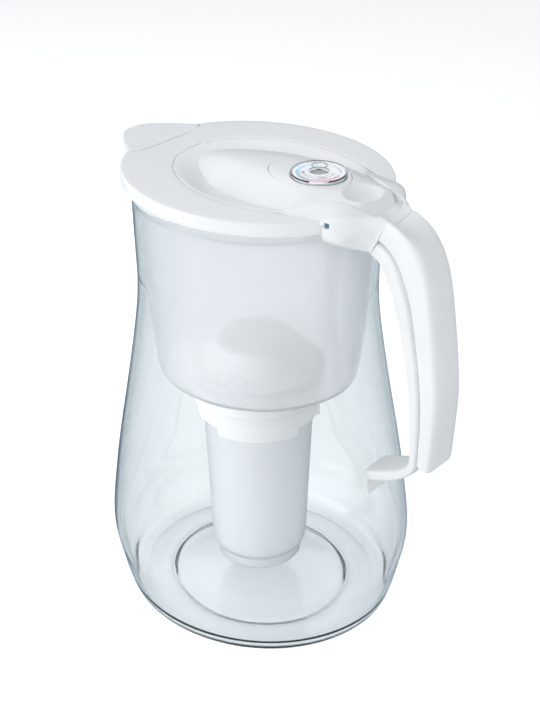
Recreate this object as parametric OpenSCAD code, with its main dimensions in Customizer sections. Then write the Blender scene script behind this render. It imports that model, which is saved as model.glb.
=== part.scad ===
// Water filter pitcher with a hinged filling flap in its lid.
// Origin: centre of the foot, on the surface it stands on. +Z up, handle towards +X, spout towards -X.
// Every horizontal section of the jug is an ellipse, so jug parts are turned profiles stretched along X.

/* [Jug] */
// Length of the jug's oval over its width
jug_oval = 1.092; // [1.05:0.005:1.12]
// Half width of the jug at its widest level
belly_r = 90.7; // [90:0.1:91.5]
// Half width of the jug at its waist
waist_r = 68; // [67.8:0.1:68.4]
// Height of the jug's rim
jug_h = 281; // [280.5:0.1:281.5]
// Thickness of the clear wall
wall = 2.6; // [2:0.1:2.8]
// Half width of the flat foot ring
foot_r = 73; // [72:0.5:74]
// Reach of the pouring lip from the jug's axis
lip_reach = 99; // [97:0.5:99]

/* [Funnel] */
// Height of the funnel's floor
funnel_floor_z = 158; // [156:0.5:160]
// Half width of the funnel where its floor begins
funnel_r = 58.5; // [57:0.5:59.5]
// Radius of the socket that holds the cartridge
socket_r = 36; // [35.8:0.1:36.4]

/* [Cartridge] */
// Height of the cartridge's underside
cart_z = 20.5; // [18:0.5:24]
// Radius of the cartridge at its shoulder
cart_r = 34.4; // [33.8:0.1:34.6]

/* [Lid] */
// Half width of the lid
lid_r = 72.6; // [72.4:0.1:73]
// Length of the lid's oval over its width
lid_oval = 1.143; // [1.14:0.001:1.146]
// Height of the lid's top face
lid_z = 287.4; // [287:0.1:288]
// Height of the rim that hangs from the lid
lid_rim_h = 8; // [7:0.5:8]

/* [Dial] */
// Radius of the clear window over the counter
dial_r = 15.8; // [15.5:0.1:16]
// Distance of the dial from the jug's axis
dial_x = 46; // [44:0.5:47]

/* [Flap] */
// Depth of the hollow that the crest rises from
dish = 3.6; // [3:0.1:4]

/* [Handle] */
// Width of the hand grip
grip_w = 25; // [23:0.5:26]
// Reach of the handle from the jug's axis
grip_reach = 140; // [138:0.5:141]

/* [Hidden] */
gap = 0.3;
white = [0.95, 0.96, 0.97];
clear = [0.78, 0.86, 0.92, 0.35];
silver = [0.86, 0.88, 0.90];

// Smooth curve through a few points (Catmull-Rom), n steps between neighbours
function knot(p, i) = p[max(0, min(len(p) - 1, i))];
function bend(a, b, c, d, t) =
    0.5 * (2 * b + (c - a) * t + (2 * a - 5 * b + 4 * c - d) * t * t + (3 * b - a - 3 * c + d) * t * t * t);
function curve(p, n = 5) = concat(
    [for (i = [0 : len(p) - 2], j = [0 : n - 1])
        bend(knot(p, i - 1), knot(p, i), knot(p, i + 1), knot(p, i + 2), j / n)],
    [p[len(p) - 1]]);
function backwards(p) = [for (i = [len(p) - 1 : -1 : 0]) p[i]];
function mirrored(p) = [for (i = [len(p) - 1 : -1 : 0]) [p[i][0], -p[i][1]]];

// Skin over a list of rings with equal numbers of points: capped at both ends, or joined into a loop
module skinned(rings, loop = false) {
    m = len(rings[0]);
    n = len(rings);
    polyhedron([for (ring = rings) each ring], concat(
        loop ? [] : [[for (j = [0 : m - 1]) j], [for (j = [m - 1 : -1 : 0]) (n - 1) * m + j]],
        [for (i = [0 : n - (loop ? 1 : 2)], j = [0 : m - 1])
            let (a = i * m, b = ((i + 1) % n) * m, k = (j + 1) % m) [a + j, b + j, b + k, a + k]]));
}
function oval(a, b, n = 96) = [for (j = [0 : n - 1]) [a * cos(360 * j / n), b * sin(360 * j / n)]];

// ---- Jug ----------------------------------------------------------------
// Outer wall from the foot to the rim: [half width, height]
rim_r = 70;
jug_side = concat(
    curve([[foot_r, 0], [foot_r + 6.5, 2], [foot_r + 9.7, 7], [87.2, 26.6], [belly_r, 50], [86.9, 85.5],
           [82.7, 114], [77.1, 147], [71.9, 180], [68.9, 204], [waist_r, 222]], 2),
    curve([[waist_r + 0.1, 223], [68.5, 245], [69, 272]], 3),
    [[rim_r, 274], [rim_r, jug_h]]);

// Pouring lip: how far it stands out of the oval at height z and side distance y
lip_half_w = 22;
lip_foot_z = 247;
function lip(z, y) = (lip_reach - jug_oval * rim_r) * pow(max(0, min(1, (z - lip_foot_z) / 31)), 1.2)
    * max(0, 1 - pow(y / lip_half_w, 2));

// Ring of points round the jug, closer together at the lip than at the handle
jug_n = 52;
function jug_angle(j) = 360 * j / jug_n + 28 * sin(360 * j / jug_n);
function jug_ring(r, z, inset = 0, out = 1) = [for (j = [0 : jug_n - 1])
    let (th = jug_angle(j), x = (jug_oval * r - inset) * cos(th), y = (r - inset) * sin(th))
    [x + (x < 0 ? -out * lip(z, y * r / (r - inset)) : 0), y, z]];

module tank() {
    color(clear) skinned(concat(
        [jug_ring(52, 2.4), jug_ring(53.5, 0)],
        [for (p = jug_side) jug_ring(p[0], p[1])],
        [for (i = [len(jug_side) - 1 : -1 : 0]) let (p = jug_side[i])
            if (p[1] > 3) jug_ring(p[0], p[1], wall)],
        [jug_ring(74, 3.2, wall), jug_ring(58, 3.2, wall), jug_ring(54, 5.4, wall)]));
}

// ---- Funnel --------------------------------------------------------------
flange_z = jug_h + gap;
funnel_wall = 2;
seat_z = funnel_floor_z + funnel_wall + 1.2;
funnel_side = curve([[52, funnel_floor_z], [56.6, funnel_floor_z + 2.4], [funnel_r, funnel_floor_z + 8],
                     [61, 190], [63.4, 222], [64.5, 255], [65.1, flange_z]], 2);
// Ring of points round the funnel: oval by the given ratio
function funnel_ring(r, z, inset = 0, ratio = jug_oval) = [for (j = [0 : jug_n - 1])
    let (a = 360 * j / jug_n) [(ratio * r - inset) * cos(a), (r - inset) * sin(a), z]];

module funnel() {
    hole = socket_r + 2.5;
    color(clear) skinned(concat(
        [funnel_ring(hole, funnel_floor_z, 0, 1)],
        [for (p = funnel_side) funnel_ring(p[0], p[1])],
        [funnel_ring(69.4, flange_z), funnel_ring(69.4, flange_z + 1.6),
         funnel_ring(65.1, flange_z + 1.6, funnel_wall)],
        [for (p = backwards(funnel_side)) if (p[1] > funnel_floor_z + 3) funnel_ring(p[0], p[1], funnel_wall)],
        [funnel_ring(52, funnel_floor_z + funnel_wall, funnel_wall),
         funnel_ring(hole, funnel_floor_z + funnel_wall, 0, 1)]), loop = true);
}

// Socket ring set through the funnel's floor: collar with a bead, seat, and a skirt parted into three
module socket_ring() {
    wide = socket_r + 2.4;
    bead = socket_r + 3.6;
    brim = socket_r + 5;
    brim_z = funnel_floor_z + funnel_wall + 0.05;
    color(clear) difference() {
        rotate_extrude($fn = 96) polygon([
            [socket_r, 125.4], [wide, 125.4], [wide, 138], [bead, 138.8], [bead, 141.2], [wide, 142],
            [wide, brim_z], [brim, brim_z], [brim, seat_z], [socket_r, seat_z]]);
        for (a = [0 : 120 : 240])
            rotate([0, 0, a + 60]) translate([20, -8, 120]) cube([30, 16, 10]);
    }
}

// ---- Cartridge -----------------------------------------------------------
shell_z = cart_z + 8;
cap_z = seat_z + gap;

module cartridge_shell() {
    color(silver) rotate_extrude($fn = 96) polygon([
        [27.6, shell_z], [29.2, shell_z + 3], [30.4, shell_z + 6], [cart_r, 134], [cart_r, cap_z - 0.1],
        [cart_r - 1.6, cap_z - 0.1], [cart_r - 1.6, 134], [28.8, shell_z + 6], [27.2, shell_z + 1.6],
        [0, shell_z + 1.6], [0, shell_z]]);
}

module cartridge_cap() {
    color(white) difference() {
        rotate_extrude($fn = 96) polygon(concat(
            [[29, 156], [cart_r - 1.75, 156], [cart_r - 1.75, cap_z]],
            [[41, cap_z], [41.5, cap_z + 0.8], [41, cap_z + 1.8]],
            curve([[39, cap_z + 2.4], [33, cap_z + 6.5], [28, cap_z + 12.5], [25.3, cap_z + 16.8],
                   [22, cap_z + 18]], 3),
            [[0, cap_z + 18], [0, cap_z + 16.2], [22, cap_z + 16.2], [30.5, cap_z + 5]]));
        // slots that let the water in, in two rows round the dome
        for (a = [0 : 15 : 345])
            rotate([0, 0, a]) translate([22, -0.8, cap_z + 3]) cube([20, 1.6, 3]);
        for (a = [0 : 30 : 330])
            rotate([0, 0, a + 7.5]) translate([10, -0.8, cap_z + 15]) cube([8, 1.6, 6]);
    }
}

module cartridge_base() {
    color(silver) difference() {
        rotate_extrude($fn = 96) polygon([
            [0, cart_z], [25.6, cart_z], [26.8, cart_z + 1.2], [27.4, shell_z - 0.05], [0, shell_z - 0.05]]);
        // outlet holes, in rings
        for (r = [9, 16, 22])
            for (a = [0 : 360 / round(r * 0.75) : 359])
                rotate([0, 0, a]) translate([r, 0, cart_z - 1]) cylinder(r = 1.3, h = 6, $fn = 16);
    }
}

module cartridge_seal() {
    color("dimgray") rotate_extrude($fn = 96) translate([cart_r + 0.77, 150]) circle(r = 0.75, $fn = 24);
}

module inlet_screen() {
    color("white") translate([0, 0, 154.6]) difference() {
        cylinder(r = cart_r - 1.7, h = 1.2, $fn = 96);
        for (a = [0 : 60 : 300])
            rotate([0, 0, a]) translate([6, -3, -1]) cube([22, 6, 4]);
    }
}

module filter_media() {
    color("darkslategray") rotate_extrude($fn = 96) polygon([
        [0, shell_z + 1.7], [27, shell_z + 1.7], [28.6, shell_z + 6], [cart_r - 1.7, 134],
        [cart_r - 1.7, 154.5], [0, 154.5]]);
}

// ---- Lid -----------------------------------------------------------------
lid_t = 2.4;
seam = 0.4;
// Hinges: [x of the axis, radius of the barrel, radius of the pin]
flap_hinge = [-49.75, 1.25, 0.5];
spout_hinge = [-74.6, 1, 0.5];
// Oval of the flap
flap_cx = 13;
flap_a = 64;
flap_b = 48;

module flap_oval(e = 0) {
    translate([flap_cx, 0]) polygon(oval(flap_a + e, flap_b + e));
}

// Plan of the handle's fork, which holds the lid's tail on both sides; grown by e
fork_outer = curve([[44, 41], [56, 38.6], [66, 35.6], [75, 33], [82, 30], [88, 24], [93, 17.5],
                    [100, grip_w / 2]], 3);
fork_inner = curve([[44, 41], [51, 35], [57, 29.5], [64, 24], [72, 19], [80, 16.2], [88, 14.6], [96, 13]], 3);
function lifted(p, e) = [for (q = p) [q[0], q[1] + e]];
module fork_half(e = 0) {
    polygon(concat([[44 - e, 41]], lifted(fork_outer, e), [[112, grip_w / 2 + e], [112, 0], [98 - e, 0],
                   [98 - e, 12 - e]], lifted(backwards(fork_inner), -e)));
}
module fork_plan(e = 0) {
    fork_half(e);
    mirror([0, 1]) fork_half(e);
}

// Plan of the spout cover, grown by e
cover_edge = curve([[-69.3, 17], [-70.3, 23], [-72.8, 28.6]], 3);
cover_nose = curve([[-77.5, 27.6], [-88, 20.5], [-96.5, 13], [-101, 6.5], [-102, 0]], 4);
module cover_plan(e = 0) {
    half = concat([for (p = cover_edge) [p[0] + e, p[1] + e * 0.3]],
                  [for (p = cover_nose) [p[0] - e * 0.4, p[1] + e * min(1, p[1] / 8)]]);
    polygon(concat(half, [for (p = backwards(half)) if (p[1] > 0.1) [p[0], -p[1]]]));
}
// What the lid leaves free for the handle's fork, its tail and the spout cover
module lid_notches() {
    fork_plan(0.02);
    translate([66, -30]) square([40, 60]);
    cover_plan(seam);
}

module lid_plate() {
    color(white) difference() {
        union() {
            translate([0, 0, lid_z - lid_t]) linear_extrude(lid_t) difference() {
                polygon(oval(lid_r * lid_oval, lid_r));
                flap_oval(seam);
                lid_notches();
            }
            // rim that hangs over the jug
            translate([0, 0, lid_z - lid_rim_h]) linear_extrude(lid_rim_h - lid_t + 0.1) difference() {
                polygon(oval(lid_r * lid_oval, lid_r));
                polygon(oval(lid_r * lid_oval - 2.2, lid_r - 2));
                lid_notches();
            }
            // ledge under the edge of the flap
            translate([0, 0, lid_z - 4.5]) linear_extrude(2) difference() {
                flap_oval(3);
                flap_oval(-4);
                translate([44, -60]) square([60, 120]);
                cover_plan(seam);
            }
            // ring that seats on the funnel's flange
            translate([0, 0, flange_z + 1.6 + gap]) linear_extrude(lid_z - lid_t - flange_z - 1.8) difference() {
                polygon(oval(jug_oval * 68.6, 68.6));
                polygon(oval(jug_oval * 67, 67));
                lid_notches();
                translate([-100, -30]) square([40, 60]);
            }
        }
        // pocket that the flap's barrel turns in, and bores for the spout cover's pin
        hinge_rod(flap_hinge, flap_hinge[1] + 0.35, 15);
        translate([flap_hinge[0] - flap_hinge[1] - 0.3, -15, lid_z - flap_hinge[1]]) cube([2, 30, 5]);
        hinge_rod(spout_hinge, spout_hinge[2], 30.2, 32);
    }
    color(white) flap_lugs();
}

// Round rod of radius r along a hinge's axis, as far as y to both sides
module hinge_rod(hinge, r, y, n = 48) {
    translate([hinge[0], 0, lid_z - hinge[1]]) rotate([90, 0, 0]) cylinder(r = r, h = 2 * y, center = true, $fn = n);
}
// Lugs of the lid that hold the flap's pin on both sides of its barrel
module flap_lugs() {
    r = flap_hinge[1];
    for (s = [-1, 1]) difference() {
        union() {
            translate([flap_hinge[0], s * 11.75, lid_z - r]) rotate([90, 0, 0])
                cylinder(r = r, h = 6.9, center = true, $fn = 48);
            translate([flap_hinge[0] - 2.2, s * 11.75 - 3.45, lid_z - 2 * r]) cube([2.2, 6.9, 2 * r]);
        }
        hinge_rod(flap_hinge, flap_hinge[2], 50, 32);
    }
}
module flap_pin() {
    color("silver") hinge_rod(flap_hinge, flap_hinge[2], 14.8, 32);
}
module spout_pin() {
    color("silver") hinge_rod(spout_hinge, spout_hinge[2], 30, 32);
}

// Spout cover: it rocks on a pin through its barrel, and its thin tail dips under the lid as the nose rises
module spout_cover() {
    color(white) difference() {
        union() {
            translate([0, 0, lid_z - 1]) linear_extrude(1) cover_plan();
            translate([0, 0, lid_z - 1.9]) linear_extrude(1) intersection() {
                cover_plan();
                translate([-150, -40]) square([149.8 + spout_hinge[0], 80]);
            }
            hinge_rod(spout_hinge, spout_hinge[1] - 0.05, 27.6);
            // turned-down edge round the nose
            translate([0, 0, lid_z - 4.6]) linear_extrude(3) intersection() {
                difference() {
                    cover_plan();
                    cover_plan(-1.8);
                }
                translate([-150, -40]) square([73, 80]);
            }
        }
        hinge_rod(spout_hinge, spout_hinge[2] + 0.05, 50, 32);
    }
}

// ---- Flap ----------------------------------------------------------------
module flap_outline(e = 0) {
    difference() {
        flap_oval(e);
        translate([flap_hinge[0] - 20, -60]) square([20, 120]);
        fork_plan(gap);
    }
}

// Hollow of the flap, grown outward and downward: its wall slopes in from the seam to a flat floor
dish_share = 0.72;
module flap_dish(out, down, top) {
    translate([flap_cx, 0, lid_z - dish - down]) linear_extrude(dish + down + top, scale = 1 / dish_share)
        polygon(oval((flap_a + out) * dish_share, (flap_b + out) * dish_share));
}

module flap_panel() {
    color(white) difference() {
        union() {
            difference() {
                union() {
                    // thin lip at the seam over the dished plate
                    translate([0, 0, lid_z - 0.7]) linear_extrude(0.7) flap_outline();
                    intersection() {
                        flap_dish(-0.8, 1.6, -0.5);
                        translate([0, 0, lid_z - 9]) linear_extrude(9) flap_outline(-0.8);
                    }
                }
                flap_dish(-1.5, 0, 0.1);
            }
            hinge_rod(flap_hinge, flap_hinge[1], 8);
        }
        for (s = [-1, 1])
            translate([flap_hinge[0] - 4, s * 11.75 - 3.75, lid_z - 8]) cube([5.6, 7.5, 12]);
        hinge_rod(flap_hinge, flap_hinge[2] + 0.05, 50, 32);
    }
}

// Side view of the raised crest: it climbs from its tip to the dial, drops into the thumb scoop and ends in the tab
crest_top = curve([[-41, lid_z - 1.2], [-36, 288.9], [-24, 291.6], [0, 294], [25, 296], [46, 297.3], [60, 297.6],
                   [68, 296.6]], 4);
crown_r = 60;
module crest_side() {
    polygon(concat([[-41, lid_z - 6]], crest_top,
            curve([[69, 296], [72, 291], [78, 288.8], [84, 290], [88.5, 295.4]], 4),
            [[91, 295], [92.5, 293], [92, 289.4], [88, lid_z - 6]]));
}
module crest_plan() {
    half = concat(curve([[-41, 0.4], [-40.4, 4.5], [-36, 12], [-26, 20.5], [-10, 28], [10, 32.3], [32, 33.5],
                  [50, 31], [64, 25], [76, 16], [92, 12.5]], 4));
    intersection() {
        polygon(concat(half, mirrored(half)));
        difference() {
            translate([-60, -60]) square([153, 120]);
            fork_plan(gap);
        }
    }
}
// Room above the flap's dished plate
module crest_room() {
    translate([-60, -60, lid_z + 0.05]) cube([160, 120, 30]);
    flap_dish(-1.6, -0.05, 0.5);
}
module crest_form() {
    difference() {
        intersection() {
            crest_room();
            translate([0, 0, lid_z - 7]) linear_extrude(30) crest_plan();
            rotate([90, 0, 0]) linear_extrude(90, center = true) crest_side();
            // crowned across its width
            translate([0, 0, lid_z + 10.8 - crown_r]) rotate([0, 90, 0])
                cylinder(r = crown_r, h = 300, center = true, $fn = 160);
        }
        on_dial() translate([0, 0, -5.5]) cylinder(r = dial_r + 0.1, h = 12, $fn = 72);
    }
}
module bezel_plan(e) {
    translate([dial_x - 4.5, 0]) polygon(oval(25.5 + e, 18.2 + e, 72));
}
module flap_crest() {
    color(white) difference() {
        crest_form();
        translate([0, 0, lid_z + 2]) linear_extrude(20) bezel_plan(0.05);
    }
}
module dial_bezel() {
    color(white) intersection() {
        crest_form();
        translate([0, 0, lid_z + 2.05]) linear_extrude(20) bezel_plan(0);
    }
}

// Places children on the dial's face, at its axis
module on_dial() {
    translate([dial_x, 0, 297]) children();
}

module counter_plate() {
    color(white) on_dial() difference() {
        translate([0, 0, -5.4]) cylinder(r = dial_r, h = 2, $fn = 72);
        translate([0, 0, -8]) cylinder(r = 2.05, h = 8, $fn = 32);
    }
}
// Springy finger that clicks over the ratchet's teeth
module click_spring() {
    color("gray") on_dial() translate([10.4, 0, -3.3]) {
        cylinder(r = 1.6, h = 1, $fn = 32);
        rotate([0, 0, 150]) translate([0, -0.5, 0]) cube([4.8, 1, 1]);
    }
}
module counter_lens() {
    color(clear) on_dial() difference() {
        union() {
            translate([0, 0, -3.3]) cylinder(r = dial_r, h = 2.6, $fn = 72);
            translate([0, 0, -0.8]) cylinder(r1 = dial_r, r2 = dial_r - 1.2, h = 1.6, $fn = 72);
        }
        translate([0, 0, -4]) cylinder(r = dial_r - 1.2, h = 3.6, $fn = 72);
        translate([0, 0, -2]) cylinder(r = 5.6, h = 5, $fn = 48);
    }
}
// Ratchet disc that carries the pointer ring, on a hub through the plate
ratchet_r = 6.2;
pointer_r = 4.5;
pointer_x = 9.7;
pointer_angle = 131;
module dial_disc() {
    color("gainsboro") on_dial() rotate([0, 0, pointer_angle]) {
        translate([0, 0, -3]) linear_extrude(0.9) union() {
            circle(r = ratchet_r - 0.7, $fn = 48);
            for (a = [0 : 15 : 345])
                rotate(a) polygon([[ratchet_r - 0.9, -0.7], [ratchet_r, 0.6], [ratchet_r - 0.9, 0.7]]);
        }
        translate([0, 0, -5.3]) cylinder(r = 2, h = 2.4, $fn = 32);
        translate([0, 0, -2.2]) linear_extrude(0.7) difference() {
            union() {
                translate([pointer_x, 0]) circle(r = pointer_r, $fn = 48);
                circle(r = 6.4, $fn = 48);
            }
            translate([pointer_x, 0]) circle(r = pointer_r - 0.8, $fn = 48);
        }
    }
}
module dial_knob() {
    color("darkgray") on_dial() {
        translate([0, 0, -1.5]) cylinder(r = 5.2, h = 2, $fn = 48);
        translate([0, 0, 0.5]) cylinder(r1 = 5.2, r2 = 4.4, h = 0.8, $fn = 48);
    }
}

// ---- Handle --------------------------------------------------------------
// Side view of the handle: outer and inner edge, from the fork down to the foot
seam_top = [103.5, 288.4];
outer_edge = curve([seam_top, [110, 286], [118.5, 280], [126, 269.5], [131.5, 253], [137, 220],
                    [grip_reach - 0.3, 197], [grip_reach, 182], [138.7, 156], [137.6, 143]], 4);
inner_edge = curve([[91, 264], [95.8, 261.6], [100.6, 255.5], [105.5, 244.5], [110.5, 231], [116, 210],
                    [120, 187], [121.8, 168], [122.6, 156], [122.9, 147]], 4);
// Where the grip's shell and the strip meet inside the handle: its share of the depth from the inner edge
function split_at(less = 0) = [for (i = [0 : len(inner_edge) - 1])
    let (t = 0.4 - less - 0.03 * i / len(inner_edge)) inner_edge[i] * (1 - t) + outer_edge[i] * t];
split_edge = split_at();

// Section of the grip between two edges of the side view; q rounds its corners
function ring_at(a, b, half_w, q, m, dent = 0) = [for (j = [0 : m - 1])
    let (c = cos(360 * j / m), s = -sin(360 * j / m), u = sign(c) * pow(abs(c), q), v = sign(s) * pow(abs(s), q),
         d = u > 0 ? dent * max(0, 1 - pow(half_w * v / trough_half_w, 2)) / norm(b - a) : 0,
         x = (a + b) / 2 + (b - a) * (u / 2 - d)) [x[0], half_w * v, x[1]]];
module lofted(edge_a, edge_b, half_w, q, m = 20) {
    skinned([for (i = [0 : len(edge_a) - 1]) ring_at(edge_a[i], edge_b[i], half_w[i], q, m)]);
}
function same(n, w) = [for (i = [1 : n]) w];

// The grip's shell: the thumb trough of the bracket runs out over its first rings
trough_half_w = 10;
module handle_grip() {
    n = len(outer_edge);
    color(white) skinned([for (i = [0 : n - 1])
        ring_at(split_edge[i], outer_edge[i], grip_w / 2, 0.42, 28, 6.2 * pow(max(0, 1 - i / 10), 0.8))]);
}

// The strip closes the grip's inner side, turns in below the hand as a foot, and ends in a flange
// that bears on the jug's wall
foot_top = curve([[122.9, 147], [121.2, 141.5], [116, 137], [106, 132], [95, 127.6], [91.4, 125.4], [90.4, 122.5],
                  [91.2, 116], [92.4, 108.4]], 3);
foot_under = curve([[128.7, 145.6], [126.6, 139], [120.5, 132.2], [111, 126], [101, 121.6], [96.6, 119.6],
                    [94, 117.6], [93.6, 114], [94.4, 108.6]], 3);
module handle_strip() {
    color(white) lofted(concat(inner_edge, [for (i = [1 : len(foot_top) - 1]) foot_top[i]]),
        concat(split_at(0.006), [for (i = [1 : len(foot_under) - 1]) foot_under[i]]),
        concat(same(len(inner_edge) + 12, grip_w / 2 - 0.8), [for (i = [1 : len(foot_top) - 13])
            11.7 - 2.7 * min(1, i / 4)]), 0.42, 16);
}

// The handle's root: a crest over the lid's tail and a saddle round the jug's rim, parted by a V seam
// so that the lid lifts straight off with the crest
root_crest = curve([[42, lid_z + 0.3], [52, 290], [62, 293], [74, 295], [84, 294.8], [94, 292.4],
                    seam_top], 4);
root_under = curve([[91, 264], [84, 268], [76, 270.6], [66, 272]], 3);
v_seam = [[40, 284.6], [78, 284.6], [95, 275.6]];
module root_side() {
    polygon(concat(root_crest, root_under, [[42, 272]]));
}
// End view of the root: it falls from its middle to the lid's face at both sides
module root_end() {
    half = concat([[grip_w / 2 - 0.5, 262]],
                  curve([[16, 267], [22, 270.6], [34, 275.5]], 3), [[46, 278], [46, lid_z + 0.3]],
                  curve([[39, lid_z + 0.5], [31, 290], [23, 293.2], [15, 295.2], [0, 296]], 4));
    polygon(concat(half, [for (p = backwards(half)) if (p[0] > 0.1) [-p[0], p[1]]]));
}
module handle_root() {
    intersection() {
        translate([0, 0, 255]) linear_extrude(50)
            polygon(concat(fork_outer, [[112, grip_w / 2], [112, -grip_w / 2]], mirrored(fork_outer)));
        rotate([90, 0, 0]) linear_extrude(100, center = true) root_side();
        translate([150, 0, 0]) rotate([90, 0, -90]) linear_extrude(150) root_end();
    }
}
module thumb_trough() {
    translate([105.6, 0, 293.6]) rotate([0, 112, 0]) cylinder(r = 12, h = 60, center = true, $fn = 72);
}
module handle_saddle() {
    color(white) difference() {
        handle_root();
        // the jug's wall and rim, and the funnel's flange
        translate([0, 0, 250]) linear_extrude(22.1) polygon(oval(jug_oval * 69 + 0.1, 69.1));
        translate([0, 0, 272]) linear_extrude(jug_h - 271.9) polygon(oval(jug_oval * rim_r + 0.1, rim_r + 0.1));
        translate([0, 0, jug_h - 0.1]) linear_extrude(10) polygon(oval(77.6, 71.2));
        // the crest's part of the root
        rotate([90, 0, 0]) linear_extrude(100, center = true)
            polygon(concat([for (p = v_seam) p - [0, gap]], [[seam_top[0] + 1, seam_top[1] + 2], [40, 310]]));
    }
}
module lid_fork() {
    color(white) difference() {
        intersection() {
            handle_root();
            rotate([90, 0, 0]) linear_extrude(100, center = true)
                polygon(concat(v_seam, [seam_top - [0.4, -0.2], [104, 310], [40, 310]]));
        }
        // room for the flap and its thumb tab
        translate([0, 0, lid_z - 8]) linear_extrude(20) intersection() {
            flap_slot();
            translate([30, -45]) square([48.5, 90]);
        }
        translate([0, 0, lid_z - 0.5]) linear_extrude(20) flap_slot();
        thumb_trough();
    }
}
// Everything between the fork's arms belongs to the flap and its thumb tab
module flap_slot() {
    polygon(concat([[30, 41]], fork_inner, mirrored(fork_inner), [[30, -41]]));
}

tank();
handle_saddle();
handle_grip();
handle_strip();
funnel();
socket_ring();
cartridge_shell();
cartridge_cap();
cartridge_base();
cartridge_seal();
inlet_screen();
filter_media();
lid_plate();
lid_fork();
flap_pin();
spout_pin();
spout_cover();
flap_panel();
flap_crest();
dial_bezel();
counter_plate();
click_spring();
counter_lens();
dial_disc();
dial_knob();
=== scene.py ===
import math

import bmesh
import bpy
import numpy as np
from mathutils import Matrix, Vector


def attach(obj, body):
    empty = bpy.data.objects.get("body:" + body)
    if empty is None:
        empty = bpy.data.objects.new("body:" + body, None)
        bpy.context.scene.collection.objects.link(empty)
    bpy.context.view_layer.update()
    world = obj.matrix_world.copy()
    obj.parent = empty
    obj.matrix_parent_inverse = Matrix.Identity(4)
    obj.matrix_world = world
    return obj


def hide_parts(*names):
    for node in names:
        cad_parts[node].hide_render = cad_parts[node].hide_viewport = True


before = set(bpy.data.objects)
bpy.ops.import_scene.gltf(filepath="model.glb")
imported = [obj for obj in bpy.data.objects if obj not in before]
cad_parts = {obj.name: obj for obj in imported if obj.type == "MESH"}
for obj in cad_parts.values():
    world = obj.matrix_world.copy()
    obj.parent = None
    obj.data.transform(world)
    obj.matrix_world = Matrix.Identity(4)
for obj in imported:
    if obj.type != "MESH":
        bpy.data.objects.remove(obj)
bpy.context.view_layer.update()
scene = bpy.context.scene
scene.view_settings.view_transform = "Standard"


# ---- Studio: camera, lamps, floor -------------------------------------------
# A long lens looks down on the pitcher from the handle's side. A broad lamp at the front left makes the
# upright faces brighter than the lid's top; the floor is near white and keeps a soft shadow.

def linear(code):
    """An sRGB hex colour as linear red, green, blue and alpha."""
    parts = [int(code[i:i + 2], 16) / 255 for i in (1, 3, 5)]
    return [c / 12.92 if c <= 0.04045 else ((c + 0.055) / 1.055) ** 2.4 for c in parts] + [1.0]


def add_node(tree, kind, inputs=None, **settings):
    """A node with its settings, its inputs set to values or linked from sockets."""
    node = tree.nodes.new(kind)
    for key, value in settings.items():
        setattr(node, key, value)
    for key, value in (inputs or {}).items():
        socket = node.inputs[key]
        if isinstance(value, bpy.types.NodeSocket):
            tree.links.new(value, socket)
        else:
            socket.default_value = value
    return node


def new_material(name):
    """An empty node material, and its tree."""
    material = bpy.data.materials.new(name)
    material.use_nodes = True
    material.node_tree.nodes.clear()
    return material, material.node_tree


def new_piece(name, points, edges=(), faces=()):
    """An object at the origin, from points in metres."""
    mesh = bpy.data.meshes.new(name)
    mesh.from_pydata(points, edges, faces)
    piece = bpy.data.objects.new(name, mesh)
    scene.collection.objects.link(piece)
    return piece


camera = bpy.data.objects.new("camera", bpy.data.cameras.new("camera"))
scene.collection.objects.link(camera)
camera.matrix_world = Matrix((
    (0.75194, -0.32641, 0.57275, 0.5065),
    (0.65921, 0.37800, -0.65004, -0.5640),
    (-0.00432, 0.86635, 0.49941, 0.5977),
    (0, 0, 0, 1)))
camera.data.lens = 71.14
camera.data.sensor_width = 36
camera.data.clip_start = 0.01
scene.camera = camera

for name, place, aim, size, power in (
        ("front_softbox", (-0.6, -1.15, 0.5), (0, 0, 0.16), 0.9, 8.3),
        ("near_softbox", (0.7, -1.0, 0.9), (0, 0, 0.16), 0.9, 2.5),
        ("left_softbox", (-1.2, -0.3, 0.5), (0, 0, 0.2), 0.8, 3.0),
        ("top_softbox", (-0.5, 0.35, 0.95), (-0.03, 0, 0.29), 0.8, 1.8),
        ("right_softbox", (1.2, -0.1, 0.75), (0.05, 0, 0.2), 0.7, 2.6)):
    lamp = bpy.data.objects.new(name, bpy.data.lights.new(name, "AREA"))
    scene.collection.objects.link(lamp)
    lamp.location = place
    lamp.rotation_euler = (Vector(aim) - Vector(place)).to_track_quat("-Z", "Y").to_euler()
    lamp.data.size = size
    lamp.data.energy = power


def ray_kind(tree, *names):
    """1 for rays of any of these kinds."""
    path = add_node(tree, "ShaderNodeLightPath").outputs
    value = path[names[0]]
    for name in names[1:]:
        value = add_node(tree, "ShaderNodeMath", {0: value, 1: path[name]}, operation="MAXIMUM").outputs[0]
    return value


def mirror_ray(tree):
    """1 for rays that a gloss throws back, 0 for those that have gone through something clear."""
    path = add_node(tree, "ShaderNodeLightPath").outputs
    return add_node(tree, "ShaderNodeMath", {0: path["Is Glossy Ray"], 1: path["Is Transmission Ray"]},
                    operation="SUBTRACT", use_clamp=True).outputs[0]


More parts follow.
